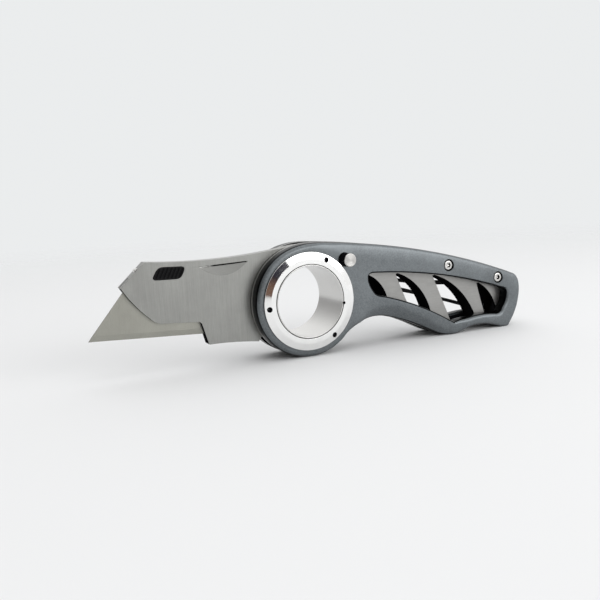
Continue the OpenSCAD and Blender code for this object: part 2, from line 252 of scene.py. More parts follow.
class Shell:
    """Corners and faces of a piece as it is drawn, in millimetres."""

    def __init__(self):
        self.corners = []
        self.faces = []

    def ring(self, outline, y):
        """Adds an outline at the distance y across the knife, one number or one for each point."""
        first = len(self.corners)
        heights = np.broadcast_to(y, len(outline))
        self.corners += [(x, h, z) for (x, z), h in zip(outline, heights)]
        return list(range(first, first + len(outline)))

    def band(self, one, other):
        """Joins two rings of as many points with a strip of faces."""
        for i in range(len(one)):
            j = (i + 1) % len(one)
            self.faces.append((one[i], one[j], other[j], other[i]))

    def sheet(self, rings, spacing=None, height=None):
        """Fills the space between rings, with points inside it at the given spacing and height."""
        edge_points = [np.array([self.corners[i] for i in ring])[:, [0, 2]] for ring in rings]
        numbers = [i for ring in rings for i in ring]
        points = np.concatenate(edge_points)
        edges, first = [], 0
        for loop in edge_points:
            edges += [(first + i, first + (i + 1) % len(loop)) for i in range(len(loop))]
            first += len(loop)
        if spacing:
            low, high = points.min(axis=0), points.max(axis=0)
            rows = np.arange(low[1], high[1], spacing * 0.866)
            grid = [
                (x + (n % 2) * spacing / 2, z)
                for n, z in enumerate(rows)
                for x in np.arange(low[0], high[0], spacing)
            ]
            grid = np.array(grid)
            grid = grid[is_inside(grid, edge_points)]
            clear = np.min([gap_to(grid, loop) for loop in edge_points], axis=0)
            grid = grid[clear > spacing * 0.45]
            numbers += self.ring(grid, height(grid))
            points = np.concatenate([points, grid])
        found = geometry.delaunay_2d_cdt([Vector(p) for p in points], edges, [], 1, 1e-6)
        own = [numbers[o[0]] if o else None for o in found[3]]
        for n, place in enumerate(found[0]):
            if own[n] is None:
                spot = np.array([[place.x, place.y]])
                nearest = int(np.argmin(np.linalg.norm(points - spot, axis=1)))
                own[n] = numbers[nearest]
        middles = np.array([sum((found[0][i] for i in f), Vector((0, 0))) / len(f) for f in found[2]])
        for face, good in zip(found[2], is_inside(middles, edge_points)):
            corners = [own[i] for i in face]
            if good and len(set(corners)) == len(corners):
                self.faces.append(tuple(corners))

    def mesh(self, name):
        mesh = bpy.data.meshes.new(name)
        mesh.from_pydata(self.corners, [], self.faces)
        drawn = bmesh.new()
        drawn.from_mesh(mesh)
        bmesh.ops.remove_doubles(drawn, verts=drawn.verts, dist=0.001)
        bmesh.ops.recalc_face_normals(drawn, faces=drawn.faces)
        drawn.to_mesh(mesh)
        drawn.free()
        return mesh


def lathe(profile, centre=(0, 0), count=128):
    """A shape turned about an axis across the knife: profile holds (radius, y) points, closed on itself
    where it never touches the axis."""
    drawn = Shell()
    rings = []
    for radius, y in profile:
        if radius < 1e-6:
            drawn.corners.append((centre[0], y, centre[1]))
            rings.append([len(drawn.corners) - 1] * count)
        else:
            rings.append(drawn.ring(circle_outline(centre, radius, count), y))
    pairs = list(zip(rings, rings[1:]))
    if profile[0][0] > 1e-6:
        pairs.append((rings[-1], rings[0]))
    for one, other in pairs:
        drawn.band(one, other)
    drawn.faces = [tuple(dict.fromkeys(face)) for face in drawn.faces]
    return drawn


def tube(points, radius, sides=12):
    """A round wire along a line of points, with flat ends."""
    drawn = Shell()
    points = np.array(points, float)
    along = np.gradient(points, axis=0)
    along /= np.linalg.norm(along, axis=1)[:, None]
    across = np.cross(along[0], (0, 1, 0))
    rings = []
    for point, way in zip(points, along):
        across = across - way * (across @ way)
        across /= np.linalg.norm(across)
        up = np.cross(way, across)
        first = len(drawn.corners)
        for turn in np.arange(sides) * 2 * math.pi / sides:
            drawn.corners.append(tuple(point + radius * (math.cos(turn) * across + math.sin(turn) * up)))
        rings.append(list(range(first, first + sides)))
    for one, other in zip(rings, rings[1:]):
        drawn.band(one, other)
    drawn.faces += [tuple(rings[0][::-1]), tuple(rings[-1])]
    return drawn


def kept(drawn, name):
    """A mesh that holds what has been drawn."""
    mesh = bpy.data.meshes.new(name)
    drawn.to_mesh(mesh)
    drawn.free()
    return mesh


def put_in(name, data):
    """A new object in the scene."""
    made = bpy.data.objects.new(name, data)
    bpy.context.collection.objects.link(made)
    return made


def cut_away(mesh, cutters):
    """The mesh with the cutters' solids taken out of it."""
    target, tool = put_in("target", mesh), put_in("tool", cutters)
    cutting = target.modifiers.new("cut", "BOOLEAN")
    cutting.object, cutting.solver, cutting.operation = tool, "EXACT", "DIFFERENCE"
    bpy.context.view_layer.update()
    graph = bpy.context.evaluated_depsgraph_get()
    result = bpy.data.meshes.new_from_object(target.evaluated_get(graph))
    for held in (target, tool):
        bpy.data.objects.remove(held)
    return result


def joined(name, meshes):
    """One mesh that holds all of the given ones."""
    drawn = bmesh.new()
    for mesh in meshes:
        drawn.from_mesh(mesh)
    return kept(drawn, name)


def welded(node):
    """A CAD node as a clean mesh in millimetres, with each flat face in one piece."""
    drawn = bmesh.new()
    drawn.from_mesh(frame["nodes"][node].data)
    bmesh.ops.scale(drawn, vec=(1 / MM,) * 3, verts=drawn.verts)
    bmesh.ops.remove_doubles(drawn, verts=drawn.verts, dist=0.002)
    flat = math.radians(0.4)
    bmesh.ops.dissolve_limit(drawn, angle_limit=flat, verts=drawn.verts, edges=drawn.edges)
    return drawn


def set_down(name, mesh, node, finish, corner=30):
    """Puts a mesh drawn in millimetres where its CAD node is, to ride on that node's body."""
    mesh.transform(Matrix.Scale(MM, 4))
    mesh.materials.clear()
    mesh.materials.append(finish)
    mesh.shade_smooth()
    mesh.set_sharp_from_angle(angle=math.radians(corner))
    piece = put_in(name, mesh)
    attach(piece, next(body for body, nodes in BODIES.items() if node in nodes))
    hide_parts(node)
    return piece


def even_faces(piece):
    """Keeps a piece's flat faces flat to the eye beside its small rounded edges."""
    shading = piece.modifiers.new("flat faces", "WEIGHTED_NORMAL")
    shading.keep_sharp = True
    return piece


def lined(piece, finish, chosen):
    """Gives a second finish to the faces that are chosen by their middles, in millimetres, and normals."""
    piece.data.materials.append(finish)
    sides = piece.data.polygons
    middles = np.array([side.center for side in sides]) / MM
    normals = np.array([side.normal for side in sides])
    for n in np.nonzero(chosen(middles, normals))[0]:
        sides[int(n)].material_index = len(piece.data.materials) - 1
    return piece


def turned_shading(piece, skipped):
    """Shades a turned ring as the exact cones and planes it is made of, however holes split its faces;
    the second finish's faces are skipped."""
    mesh = piece.data
    normals = [corner.vector.copy() for corner in mesh.corner_normals]
    for side in mesh.polygons:
        out = Vector((side.center.x, 0, side.center.z)).normalized()
        leans, faces_y = side.normal.dot(out), side.normal.y
        for corner in side.loop_indices:
            if side.material_index == skipped:
                normals[corner] = side.normal.copy()
                continue
            place = mesh.vertices[mesh.loops[corner].vertex_index].co
            own = Vector((place.x, 0, place.z)).normalized() * leans
            normals[corner] = (own + Vector((0, faces_y, 0))).normalized()
    mesh.normals_split_custom_set(normals)
    return piece


def break_edges(piece, width, segments=2, corner=30):
    """Rounds a piece's sharp edges by a width in millimetres, and keeps its flat faces flat to the eye."""
    bevel = piece.modifiers.new("broken edges", "BEVEL")
    bevel.width = width * MM
    bevel.segments = segments
    bevel.limit_method = "ANGLE"
    bevel.angle_limit = math.radians(corner)
    bevel.use_clamp_overlap = False
    return even_faces(piece)


def crisp_flats(piece):
    """Makes the edges of a piece's flat front and back faces sharp, even where a shallow cut meets them."""
    drawn = bmesh.new()
    drawn.from_mesh(piece.data)
    for edge in drawn.edges:
        flat = [abs(face.normal.y) > 0.99999 for face in edge.link_faces]
        if len(flat) == 2 and flat[0] != flat[1]:
            edge.smooth = False
    drawn.to_mesh(piece.data)
    drawn.free()
    return piece


def machined(name, node, finish, edge):
    """A piece with exactly its CAD node's shape, and its edges broken."""
    piece = crisp_flats(set_down(name, kept(welded(node), name), node, finish))
    return break_edges(piece, edge) if edge else piece


# ---- finishes ----


def new_finish(name, metallic, **constants):
    """A material with its shader's fixed values set, and the parts needed to add patterns to it."""
    finish = bpy.data.materials.new(name)
    finish.use_nodes = True
    shader = finish.node_tree.nodes["Principled BSDF"]
    shader.inputs["Metallic"].default_value = metallic
    for socket, value in constants.items():
        shader.inputs[socket.replace("_", " ").title()].default_value = value
    return finish, finish.node_tree, shader


def places(tree, kind="Object"):
    """The coordinates of each point, over the object or in its box."""
    return tree.nodes.new("ShaderNodeTexCoord").outputs[kind]


def split_up(tree, vector):
    """A vector's X, Y and Z."""
    split = tree.nodes.new("ShaderNodeSeparateXYZ")
    tree.links.new(vector, split.inputs["Vector"])
    return split.outputs


def length_of(tree, vector):
    """How long a vector is."""
    reach = tree.nodes.new("ShaderNodeVectorMath")
    reach.operation = "LENGTH"
    tree.links.new(vector, reach.inputs[0])
    return reach.outputs["Value"]


def spread(tree, source, start, end, low, high, smooth=False):
    """A value that goes from low to high as the source goes from start to end."""
    ramp = tree.nodes.new("ShaderNodeMapRange")
    if smooth:
        ramp.interpolation_type = "SMOOTHSTEP"
    for socket, value in zip(("From Min", "From Max", "To Min", "To Max"), (start, end, low, high)):
        ramp.inputs[socket].default_value = value
    tree.links.new(source, ramp.inputs["Value"])
    return ramp.outputs["Result"]


def pattern(tree, stretch, detail=3.0, roughness=0.6, vector=None):
    """A noise pattern over the object, with its repeats for each metre along X, Y and Z."""
    mapping = tree.nodes.new("ShaderNodeMapping")
    mapping.inputs["Scale"].default_value = stretch
    tree.links.new(vector or places(tree), mapping.inputs["Vector"])
    noise = tree.nodes.new("ShaderNodeTexNoise")
    noise.inputs["Scale"].default_value = 1.0
    noise.inputs["Detail"].default_value = detail
    noise.inputs["Roughness"].default_value = roughness
    tree.links.new(mapping.outputs["Vector"], noise.inputs["Vector"])
    return noise.outputs["Fac"]


def flakes(tree, size):
    """A pattern of separate small flakes, each with its own random value."""
    cells = tree.nodes.new("ShaderNodeTexVoronoi")
    cells.inputs["Scale"].default_value = size
    tree.links.new(places(tree), cells.inputs["Vector"])
    grey = tree.nodes.new("ShaderNodeRGBToBW")
    tree.links.new(cells.outputs["Color"], grey.inputs["Color"])
    return grey.outputs["Val"]


def blended(tree, one, other, share=0.5):
    """A mix of two patterns."""
    mix = tree.nodes.new("ShaderNodeMix")
    mix.inputs["Factor"].default_value = share
    tree.links.new(one, mix.inputs["A"])
    tree.links.new(other, mix.inputs["B"])
    return mix.outputs["Result"]


def tone(tree, shader, source, dark, light, low=0.3, high=0.7):
    """Base colour between two colours, as the pattern goes from low to high."""
    ramp = tree.nodes.new("ShaderNodeValToRGB")
    ramp.color_ramp.elements[0].position, ramp.color_ramp.elements[1].position = low, high
    ramp.color_ramp.elements[0].color = (*dark, 1)
    ramp.color_ramp.elements[1].color = (*light, 1)
    tree.links.new(source, ramp.inputs["Fac"])
    tree.links.new(ramp.outputs["Color"], shader.inputs["Base Color"])


def gloss(tree, shader, source, low, high):
    """Roughness between two values, as the pattern goes over its middle range."""
    tree.links.new(spread(tree, source, 0.3, 0.7, low, high), shader.inputs["Roughness"])


def relief(tree, shader, source, depth, strength=1.0):
    """Fine bumps of a depth in millimetres."""
    bump = tree.nodes.new("ShaderNodeBump")
    bump.inputs["Strength"].default_value = strength
    bump.inputs["Distance"].default_value = depth * MM
    tree.links.new(source, bump.inputs["Height"])
    tree.links.new(bump.outputs["Normal"], shader.inputs["Normal"])


def shade(colour, factor):
    return tuple(c * factor for c in colour)


def grip_paint(colour):
    """Blue-grey metallic paint: fine flakes, a slight orange peel and a satin clear coat."""
    finish, tree, shader = new_finish("grip paint", 0.75, coat_weight=0.25, coat_roughness=0.25)
    sparkle = flakes(tree, 3600)
    cloud = pattern(tree, (60, 60, 60), detail=4)
    tone(tree, shader, blended(tree, sparkle, cloud, 0.6), shade(colour, 0.74), shade(colour, 1.26))
    gloss(tree, shader, blended(tree, sparkle, cloud, 0.5), 0.34, 0.44)
    relief(tree, shader, pattern(tree, (2600, 2600, 2600), detail=2), 0.012)
    return finish


def brushed_steel(name, colour, roughness, lines, depth=0.006, vary=0.16):
    """Satin steel with fine lines; lines holds the pattern's repeats for each metre along X, Y and Z."""
    finish, tree, shader = new_finish(name, 1.0)
    fine = pattern(tree, lines, detail=4, roughness=0.7)
    cloud = pattern(tree, (120, 120, 120), detail=5, roughness=0.7)
    tone(tree, shader, blended(tree, fine, cloud, 0.4), shade(colour, 1 - vary), shade(colour, 1 + vary))
    gloss(tree, shader, fine, roughness - 0.05, roughness + 0.06)
    relief(tree, shader, fine, depth)
    return finish


def round_and_across(tree):
    """Coordinates that make turning marks: the distance from the ring's axis, and the place across."""
    split = split_up(tree, places(tree))
    flat, marks = tree.nodes.new("ShaderNodeCombineXYZ"), tree.nodes.new("ShaderNodeCombineXYZ")
    for axis in "XZ":
        tree.links.new(split[axis], flat.inputs[axis])
    tree.links.new(length_of(tree, flat.outputs["Vector"]), marks.inputs["X"])
    tree.links.new(split["Y"], marks.inputs["Y"])
    return marks.outputs["Vector"]


def turned_steel(name, colour, roughness, depth):
    """Bright steel with the fine rings that a lathe leaves about the ring's axis."""
    finish, tree, shader = new_finish(name, 1.0)
    rings = pattern(tree, (9000, 9000, 1), detail=3, vector=round_and_across(tree))
    cloud = pattern(tree, (70, 70, 70))
    tone(tree, shader, blended(tree, rings, cloud, 0.5), shade(colour, 0.93), shade(colour, 1.05))
    gloss(tree, shader, blended(tree, rings, cloud, 0.4), roughness * 0.75, roughness * 1.25)
    relief(tree, shader, rings, depth)
    return finish


def plain_metal(name, colour, roughness, grain=2500, depth=0.004, metallic=1.0):
    """Metal with an even fine grain and slight clouding, for small machined and stamped pieces."""
    finish, tree, shader = new_finish(name, metallic)
    fine = pattern(tree, (grain,) * 3, detail=3)
    cloud = pattern(tree, (120, 120, 120), detail=3)
    tone(tree, shader, blended(tree, fine, cloud, 0.5), shade(colour, 0.88), shade(colour, 1.1))
    gloss(tree, shader, blended(tree, fine, cloud, 0.5), roughness * 0.8, roughness * 1.2)
    relief(tree, shader, fine, depth)
    return finish


def moulded_black(colour):
    """Black moulded grip material with a fine matt texture."""
    finish, tree, shader = new_finish("ribbed black", 0.0)
    shader.inputs["Specular IOR Level"].default_value = 0.12
    fine = pattern(tree, (4200, 4200, 4200), detail=2)
    tone(tree, shader, fine, shade(colour, 0.7), shade(colour, 1.4))
    gloss(tree, shader, fine, 0.38, 0.55)
    relief(tree, shader, fine, 0.01)
    return finish


def shadow_black():
    """Dull black with no gloss: painted shade inside bores, grooves and on walls; the lock button's side also
    wears it.
    """
    finish = plain_metal("shadow black", colours().shadow, 0.6, metallic=0)
    finish.node_tree.nodes["Principled BSDF"].inputs["Specular IOR Level"].default_value = 0.0
    return finish


def ground_blade(colour, tilt):
    """Blade steel with grinding lines square to the cutting edge, and some darker clouding."""
    finish, tree, shader = new_finish("blade steel", 1.0)
    level = tree.nodes.new("ShaderNodeVectorRotate")
    level.rotation_type = "Y_AXIS"
    level.inputs["Angle"].default_value = -tilt
    tree.links.new(places(tree), level.inputs["Vector"])
    lines = pattern(tree, (7000, 7000, 260), detail=4, roughness=0.7, vector=level.outputs["Vector"])
    cloud = pattern(tree, (90, 90, 90), detail=4)
    tone(tree, shader, blended(tree, lines, cloud, 0.5), shade(colour, 0.88), shade(colour, 1.1))
    gloss(tree, shader, lines, 0.26, 0.4)
    relief(tree, shader, lines, 0.006)
    return finish


# ---- sizes and colours that a user would change ----


def length(name, description, default, low=0.0, high=100.0):
    return bpy.props.FloatProperty(
        name=name, description=description + ", in millimetres", default=default, min=low, max=high
    )


def angle(name, description, default):
    return bpy.props.FloatProperty(
        name=name, description=description, default=math.radians(default), subtype="ANGLE", unit="ROTATION"
    )


def colour(name, description, default):
    return bpy.props.FloatVectorProperty(
        name=name, description=description, default=default, subtype="COLOR", size=3, min=0, max=1
    )


class KnifeShape(bpy.types.PropertyGroup):
    """How edges and faces are rounded off."""

    grip_edge: length("Grip edge", "Rounding of the grip scales' outer edge", 0.9)
    ring_end_edge: length("Ring end edge", "Rounding of the grip scales' edge round the ring", 1.7)
    window_edge: length("Window edge", "Rounding of the windows' edge", 0.5)
    window_lip: length("Window lip", "Rounding of the windows' edge towards the tail", 1.5)
    spine_band: length("Spine band", "Width of the band that falls away to the spine", 5.2)
    spine_tilt: angle("Spine tilt", "Slope of the grip scales' face at the spine", 13)
    choil_tilt: angle("Choil tilt", "Slope of the scooped bevel behind the ring", 24)
    ring_flat: length("Ring flat", "Radius at which the ring's flat face ends", 14.3)
    ring_fall: length("Ring fall", "How far the ring's outer bevel falls", 0.55)
    spanner_circle: length("Spanner circle", "Radius of the circle of spanner holes", 15.0)
    spanner_hole: length("Spanner hole", "Radius of a spanner hole", 0.92)
    spanner_turn: angle("First spanner hole", "Angle of the first spanner hole above the tail's side", 64.2)
    seam: length("Seam", "Width of the groove between the ring nut and the sleeve", 0.24)
    seam_depth: length("Seam depth", "Depth of that groove", 0.4)
    stake_hole: length("Stake mark", "Radius of the punched mark on that groove", 0.55)
    stake_turn: angle("Stake angle", "Angle of the punched mark above the tail's side", -8)
    plate_edge: length("Plate edge", "Rounding of the steel plates' edges", 0.1)
    carrier_edge: length("Carrier edge", "Rounding of the carrier plates' edges", 0.04)
    rib_depth: length("Rib depth", "Depth of the grooves in the release button", 0.4)
    rib_pitch: length("Rib pitch", "Distance from one rib to the next", 1.12)
    rib_slant: angle("Rib slant", "Lean of the ribs away from upright", 27)
    blade_tilt: angle("Blade tilt", "Slope of the blade's edge", 3.1)
    clip_bend: length("Clip bend", "Length over which the belt clip bends", 2.6)


class KnifeColours(bpy.types.PropertyGroup):
    """Base colours of the finishes."""

    paint: colour("Grip paint", "Metallic paint of the grip scales", (0.136, 0.150, 0.158))
    liner: colour("Liner steel", "Brushed liners", (0.315, 0.312, 0.303))
    carrier: colour("Carrier steel", "Brushed blade carrier", (0.30, 0.302, 0.288))
    blade: colour("Blade steel", "Ground utility blade", (0.345, 0.342, 0.305))
    chrome: colour("Chrome", "Polished ring nut", (0.90, 0.90, 0.89))
    sleeve: colour("Sleeve steel", "Turned pivot sleeve", (0.66, 0.655, 0.64))
    bright: colour("Bright steel", "Screws, pins and lock button", (0.66, 0.65, 0.63))
    black: colour("Black", "Blackened steel", (0.022, 0.023, 0.025))
    ribbed: colour("Ribbed black", "Release button", (0.006, 0.006, 0.0065))
    # the grip wall colour is painted shade on the scales' walls, window edges and screw seats
    wall: colour("Grip wall", "The scales' side walls, window edges and screw seats", (0.012, 0.013, 0.014))
    shadow: colour("Shadow black", "Inside of bores, grooves and cut walls", (0.006, 0.006, 0.007))
    bronze: colour("Bronze", "Pivot washers", (0.46, 0.29, 0.12))
    floor: colour("Floor", "The table", (0.80, 0.805, 0.81))
    backdrop: colour("Backdrop", "What shows behind the table", (0.83, 0.845, 0.85))


class KnifeStage(bpy.types.PropertyGroup):
    """Where the camera stands and how bright the lights are."""

    azimuth: angle("Azimuth", "How far round the camera stands, from the knife's front", -24.8)
    elevation: angle("Elevation", "How far above the horizon the camera stands", 8.35)
    roll: angle("Roll", "How far the camera is turned about its own line of sight", -2.97)
    distance: length("Distance", "From the camera to the point it looks at", 240, high=5000)
    aim: bpy.props.FloatVectorProperty(
        name="Aim",
        description="The point that the camera looks at, in millimetres",
        default=(-0.75, -1.85, -0.14),
    )
    lens: length("Lens", "The camera's focal length", 42)
    floor_radius: length("Floor radius", "How far the table reaches", 900, high=5000)
    overhead: bpy.props.FloatProperty(
        name="Overhead light", description="Power of the softbox above, in watts", default=2.0, min=0
    )
    front: bpy.props.FloatProperty(
        name="Front light", description="Power of the softbox in front, in watts", default=2.5, min=0
    )
    nose_side: bpy.props.FloatProperty(
        name="Nose side",
        description="Share of the room's light that comes from the nose's side",
        default=0.08,
        min=0,
    )
    room: bpy.props.FloatProperty(
        name="Room light", description="Brightness of the white room", default=0.98, min=0
    )


def look():
    return bpy.context.scene.knife_shape


def colours():
    return bpy.context.scene.knife_colours


# ---- pieces ----


def bores(node):
    """Each round bore across a CAD node, as its centre and the (radius, distance) places where it changes,
    from the face farther from the knife's middle to the nearer one."""
    found = []
    for level in flat_levels(node):
        for loop in face_loops(node, level):
            circle = fitted_circle(loop)
            if circle is None:
                continue
            centre, radius = circle
            same = [steps for other, steps in found if np.linalg.norm(other - centre) < 0.1]
            steps = same[0] if same else []
            if not same:
                found.append((centre, steps))
            steps.append((round(radius, 2), level))
    for _, steps in found:
        steps.sort(key=lambda step: (-abs(step[1]), -step[0]))
    return found


def step_up(values, low, high):
    """0 below low and 1 above high, with a smooth step between."""
    t = np.clip((np.asarray(values, float) - low) / (high - low), 0, 1)
    return t * t * (3 - 2 * t)


def softened(loop, wanted):
    """An edge's rounding radius at each point, held back where the outline turns too tightly for it."""
    ahead = np.roll(loop, -1, axis=0) - loop
    size = np.linalg.norm(ahead, axis=1)
    before = np.roll(ahead, 1, axis=0)
    turn = np.arctan2(
        before[:, 0] * ahead[:, 1] - before[:, 1] * ahead[:, 0], np.sum(before * ahead, axis=1)
    )
    tightest = np.where(turn > 0.02, 0.7 * size / np.maximum(turn, 0.02), np.inf)
    radius = np.minimum(wanted, np.maximum(tightest, 0.12))
    for _ in range(12):
        radius = np.minimum(radius, np.minimum(np.roll(radius, 1), np.roll(radius, -1)) + 0.3 * size)
    return radius


class GripFace:
    """The outer face of a grip scale: flat round the ring and the window, falling to the spine and choil."""

    # width of the scooped bevel behind the ring, as (place along the knife, width)
    SCOOP = ((19, 0), (22, 1.5), (25, 2.7), (29, 3.4), (35, 4.5), (40, 3.8), (52, 2.5), (56, 1.5), (61, 0))
    # where the scoop begins and ends along the knife, and how far from the ring's axis the spine band begins
    SCOOP_START, SCOOP_END, RING_END = (18, 22), (58, 62), (16.8, 22)

    def __init__(self, outline, distance, side):
        self.distance, self.side = distance, side
        facing = inward(outline)[:, 1]
        x = outline[:, 0]
        spine = outline[(facing < -0.5) & (x > 0)]
        choil = outline[(facing > 0.4) & (x > 18) & (x < 62)]
        self.spine = spine[np.argsort(spine[:, 0])]
        self.choil = choil[np.argsort(choil[:, 0])]

    def fall(self, points):
        shape = look()
        off_ring = step_up(np.linalg.norm(points, axis=1), *self.RING_END)
        band = np.clip(shape.spine_band - gap_to(points, self.spine, closed=False), 0, None)
        fall = math.tan(shape.spine_tilt) / (2 * shape.spine_band) * band**2 * off_ring
        places, widths = zip(*self.SCOOP)
        past = np.interp(points[:, 0], places, widths) - gap_to(points, self.choil, closed=False)
        crease = 0.25
        inside = step_up(points[:, 0], *self.SCOOP_START) * (1 - step_up(points[:, 0], *self.SCOOP_END))
        return fall + math.tan(shape.choil_tilt) * (past + np.sqrt(past**2 + crease**2)) / 2 * inside

    def height(self, points, extra=0.0):
        return self.side * (self.distance - self.fall(points) - extra)


def rounded_wall(drawn, loop, radius, face, inner_y, back_edge=0.15, parts=5):
    """The rounded edge and the wall of a plate along a loop; gives the rings that its faces start from."""
    ways = inward(loop)
    rings = []
    for turn in np.linspace(0, math.pi / 2, parts + 1):
        points = loop + ways * (radius * (1 - math.sin(turn)))[:, None]
        rings.append(drawn.ring(points, face(points, radius * (1 - math.cos(turn)))))
    toward = math.copysign(back_edge, inner_y)
    rings.append(drawn.ring(loop, inner_y + toward))
    rings.append(drawn.ring(loop + ways * back_edge, inner_y))
    for one, other in zip(rings, rings[1:]):
        drawn.band(one, other)
    return rings[0], rings[-1]


def grip_scale(side, finish):
    """A grip scale, with its crowned face, rounded edges, window, counterbores and the ring's seat."""
    node = side + "_scale"
    low, high = box_mm(node)
    outer, inner = (low.y, high.y) if side == "front" else (high.y, low.y)
    shape = look()
    edges = [loop for loop in face_loops(node, outer) if fitted_circle(loop) is None]
    outline = turned_way(smooth_outline(edges[0], 0.6), True)
    window = turned_way(smooth_outline(edges[1], 0.5), False)
    face = GripFace(outline, abs(outer), math.copysign(1, outer))
    drawn = Shell()
    ring_side, lip_along, lip_down = (-8, 4), (56, 66), (3.4, 6.5)
    round_end = step_up(-outline[:, 0], *ring_side)
    edge = softened(outline, shape.grip_edge + (shape.ring_end_edge - shape.grip_edge) * round_end)
    lip = step_up(window[:, 0], *lip_along) * step_up(-window[:, 1], *lip_down)
    window_edge = softened(window, shape.window_edge + (shape.window_lip - shape.window_edge) * lip)
    outer_rings, inner_rings = [], []
    for loop, radius in ((outline, edge), (window, window_edge)):
        first, last = rounded_wall(drawn, loop, radius, face.height, inner)
        outer_rings.append(first)
        inner_rings.append(last)
    chamfer = 0.14
    for centre, steps in bores(node):
        count = 160 if steps[0][0] > 5 else 56
        rings = []
        first_radius, first_level = steps[0]
        if abs(first_level - outer) < 0.01:
            for grow, sink in ((chamfer, 0), (0, chamfer)):
                points = circle_outline(centre, first_radius + grow, count)
                rings.append(drawn.ring(points, face.height(points, sink)))
            outer_rings.append(rings[0])
        else:
            rings.append(drawn.ring(circle_outline(centre, first_radius, count), first_level))
            drawn.sheet([rings[0]])
        for radius, level in steps[1:]:
            rings.append(drawn.ring(circle_outline(centre, radius, count), level))
        for one, other in zip(rings, rings[1:]):
            drawn.band(one, other)
        if abs(steps[-1][1] - inner) < 0.01:
            inner_rings.append(rings[-1])
        else:
            drawn.sheet([rings[-1]])
    drawn.sheet(outer_rings, spacing=0.95, height=face.height)
    drawn.sheet(inner_rings)
    piece = set_down(side + "_grip_scale", drawn.mesh(node), node, finish, corner=42)

    # painted shade: the walls below the scale's face, the screw seats and a line along the window's rounded
    # edge, except at the lip
    def shaded_walls_and_seats(middles, normals):
        flat = middles[:, [0, 2]]
        upright = np.abs(normals[:, 1]) < 0.6
        under = np.abs(middles[:, 1]) < abs(outer) - 0.2
        lip_start, lip_top = 60, -4
        unlipped = (flat[:, 0] < lip_start) | (flat[:, 1] > lip_top)
        line = np.zeros(len(middles), bool)
        rim = (np.abs(middles[:, 1] - outer) < 1) & unlipped
        line[rim] = gap_to(flat[rim], window) < shape.window_edge
        seat = np.zeros(len(middles), bool)
        for centre, steps in bores(node):
            if steps[0][0] < 5:
                seat |= np.linalg.norm(flat - centre, axis=1) < steps[0][0] + 0.05
        return (under & upright) | seat & under | line

    # the near-black wall colour is painted shade on those faces
    dark = plain_metal("grip wall painted shade", colours().wall, 0.36)
    return lined(piece, dark, shaded_walls_and_seats)


class KNIFE_OT_grip_scales(bpy.types.Operator):
    """Make the two painted grip scales"""

    bl_idname = "knife.grip_scales"
    bl_label = "Grip scales"

    def execute(self, context):
        finish = grip_paint(colours().paint)
        for side in ("front", "back"):
            grip_scale(side, finish)
        return {"FINISHED"}


class KNIFE_OT_liners(bpy.types.Operator):
    """Make the two brushed liners"""

    bl_idname = "knife.liners"
    bl_label = "Liners"

    def execute(self, context):
        finish = brushed_steel("liner steel", colours().liner, 0.34, (160, 5000, 5000))
        for side in ("front", "back"):
            node = side + "_liner"
            plate = machined(side + "_liner_plate", node, finish, look().plate_edge)
            outline = face_loops(node, flat_levels(node)[0])[0]
            # painted shade: the walls of the liner's windows and the liner's inner face take the dull black
            lined(plate, shadow_black(), lambda middles, normals: (
                (np.abs(normals[:, 1]) < 0.5) & (gap_to(middles[:, [0, 2]], outline) > 0.3)
                | (normals[:, 1] * middles[:, 1] < -0.5)
            ))
        return {"FINISHED"}


class KNIFE_OT_spine(bpy.types.Operator):
    """Make the spacer along the spine and the stop pin"""

    bl_idname = "knife.spine"
    bl_label = "Spacer and stop pin"

    def execute(self, context):
        black = plain_metal("black oxide", colours().black, 0.45)
        machined("spacer_bar", "spine_spacer", black, look().plate_edge)
        pin = plain_metal("hardened steel", colours().bright, 0.22)
        machined("stop_pin_ground", "stop_pin", pin, 0.12)
        return {"FINISHED"}


def spanner_turns():
    return [look().spanner_turn + n * math.tau / 3 for n in range(3)]


def stake_place(radius):
    turn = look().stake_turn
    return np.array((radius * math.cos(turn), radius * math.sin(turn)))


def spanner_cutters(face, side):
    """Three pin-spanner holes in the ring's face at a distance to the front (side -1) or back."""
    shape = look()
    r = shape.spanner_hole
    profile = [(0, face + 0.5), (r, face + 0.5), (r, face - 0.8), (0, face - 1.15)]
    cutters = []
    for turn in spanner_turns():
        centre = (shape.spanner_circle * math.cos(turn), shape.spanner_circle * math.sin(turn))
        drawn = lathe([(radius, side * y) for radius, y in profile], centre, count=40)
        cutters.append(drawn.mesh("spanner hole"))
    return cutters


def stake_cutter(radius, face):
    """The punched mark on the seam between the ring and the sleeve."""
    centre = stake_place(radius)
    r = look().stake_hole
    profile = [(0, -face - 0.5), (r, -face - 0.5), (r, -face + 0.35), (0, -face + 0.5)]
    return lathe(profile, centre, count=24).mesh("stake mark")


def rounded_profile(points, radius, parts=3):
    return [tuple(p) for p in round_corners([np.array(p, float) for p in points], radius, parts)]


